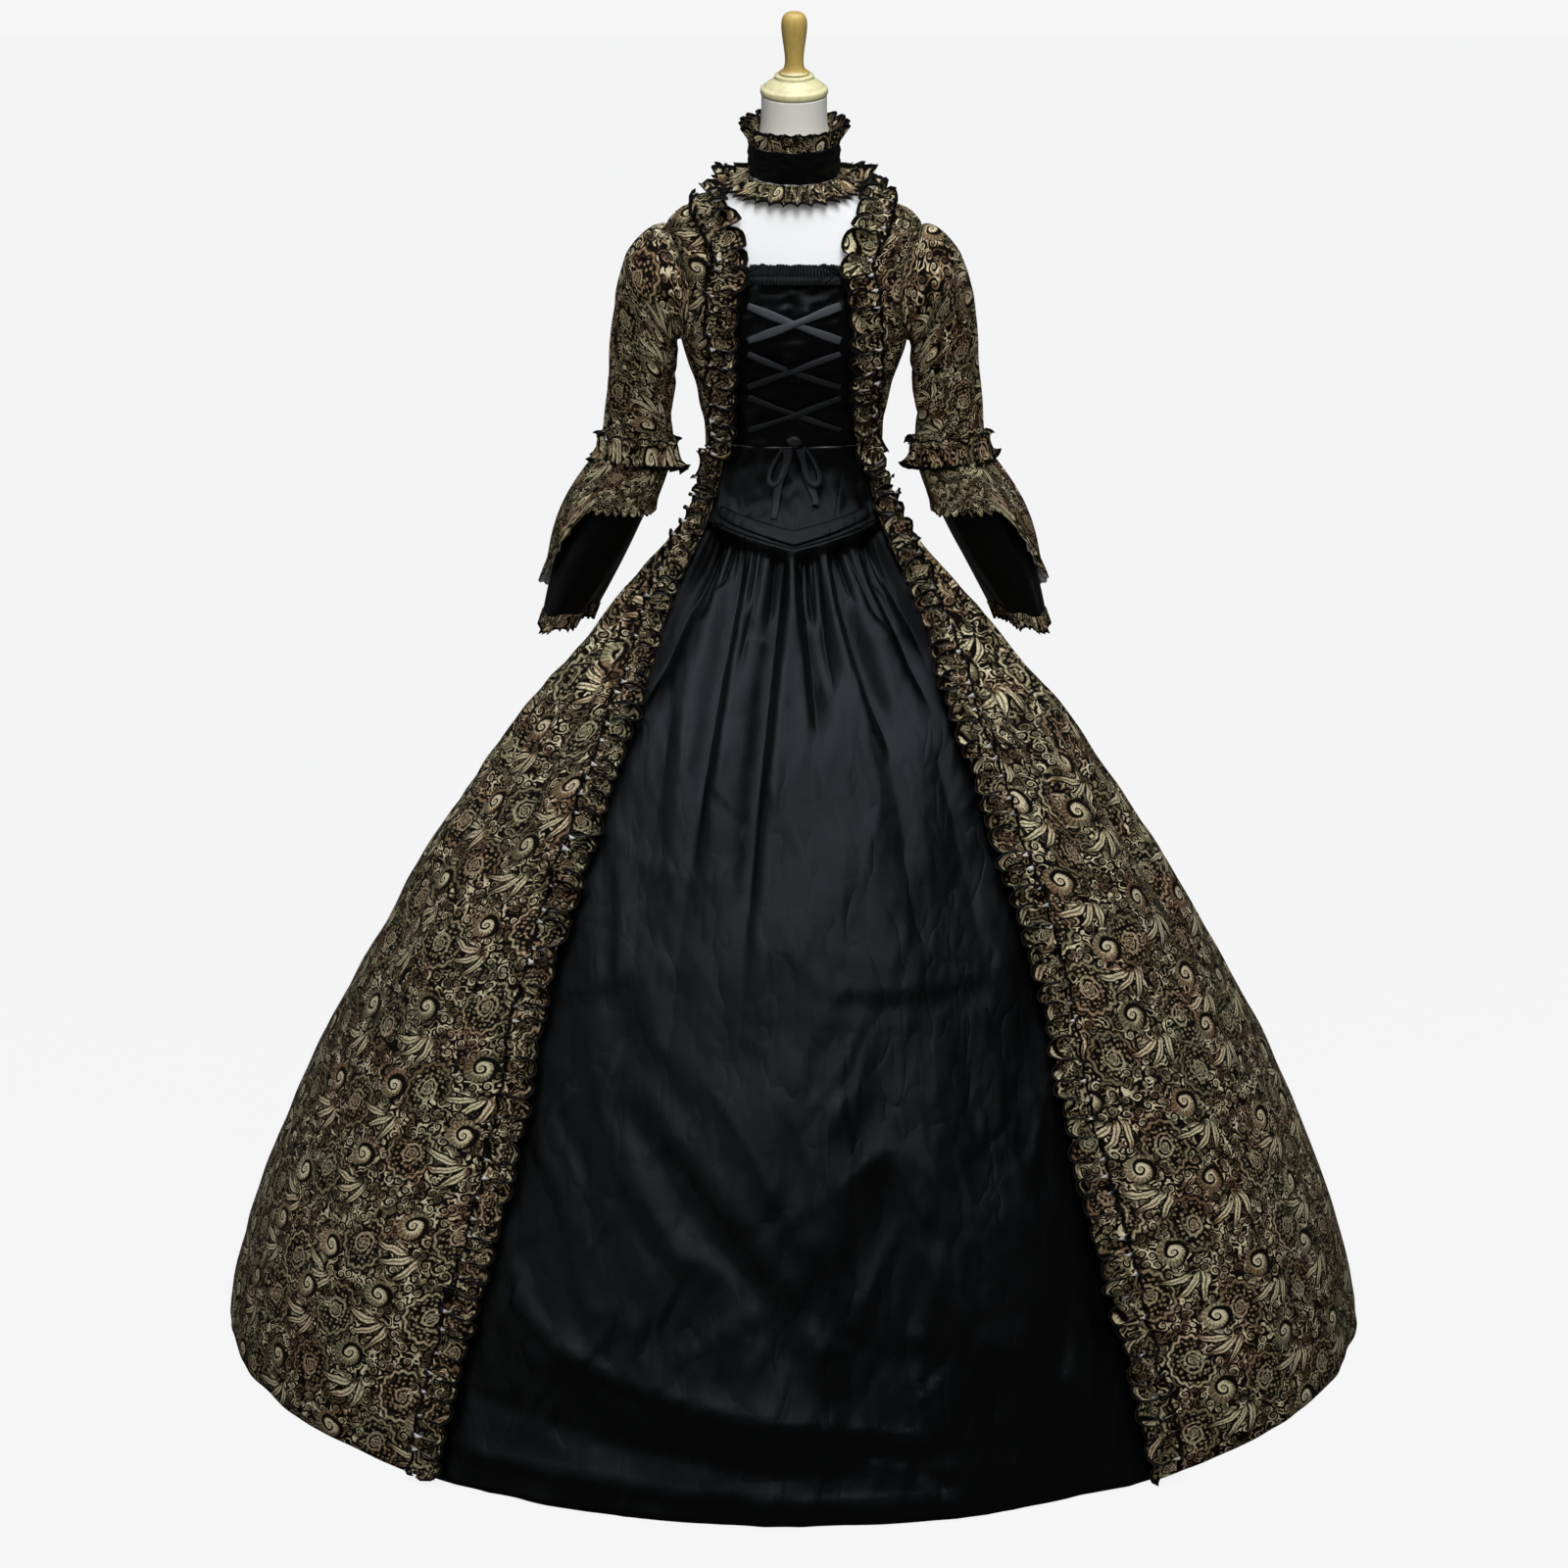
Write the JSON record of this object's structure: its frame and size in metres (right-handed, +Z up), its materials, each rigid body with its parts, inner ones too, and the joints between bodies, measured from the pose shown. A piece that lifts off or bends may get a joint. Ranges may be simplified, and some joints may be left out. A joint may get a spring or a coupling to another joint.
{
  "type": "hooped open-robe ball gown with ruffled choker on a limbless dress form",
  "caption": "Floor-length hooped ball gown, brocade open robe over black satin, ruffled trims and choker, shown on a white limbless dress form.",
  "frame": {"origin": "on the floor under the middle of the hoop", "axes": "+Z up, the gown's front towards -Y, the wearer's left towards +X"},
  "size_m": [1.4996, 1.4934, 1.6665],
  "materials": {
    "brocade": "woven scroll brocade, olive gold on brown black, soft sheen",
    "satin": "black satin with a blue sheen",
    "ribbon": "black satin ribbon",
    "form_cloth": "white jersey cover",
    "cap_wood": "pale varnished wood",
    "stand_steel": "light grey paint"
  },
  "bodies": {
    "root": {"form_torso": "form_cloth", "neck_cap": "cap_wood", "finial": "cap_wood", "stand_pole": "stand_steel", "stand_base": "stand_steel", "bodice_front_left": "brocade", "bodice_front_right": "brocade", "bodice_back_left": "brocade", "bodice_back_right": "brocade", "stomacher": "satin", "stomacher_band": "satin", "basque": "satin", "basque_binding": "satin", "underskirt_front": "satin", "overskirt_left": "brocade", "overskirt_right": "brocade", "overskirt_back_left": "brocade", "overskirt_back_right": "brocade", "ruffle_bodice_left": "brocade", "ruffle_bodice_right": "brocade", "ruffle_skirt_left": "brocade", "ruffle_skirt_right": "brocade", "collar_ruffle": "brocade", "sleeve_left": "brocade", "sleeve_right": "brocade", "sleeve_ruffle_left": "brocade", "sleeve_ruffle_right": "brocade", "flounce_outer_left": "brocade", "flounce_outer_right": "brocade", "flounce_inner_left": "satin", "flounce_inner_right": "satin", "flounce_edging_left": "brocade", "flounce_edging_right": "brocade", "choker_band": "satin", "choker_ruffle_top": "brocade", "choker_ruffle_bottom": "brocade", "lace_under_1": "ribbon", "lace_under_2": "ribbon", "lace_under_3": "ribbon", "lace_over_1": "ribbon", "lace_over_2": "ribbon", "lace_over_3": "ribbon", "lace_knot": "ribbon", "lace_loop_left": "ribbon", "lace_loop_right": "ribbon", "lace_tail_left": "ribbon", "lace_tail_right": "ribbon"}
  },
  "joints": []
}
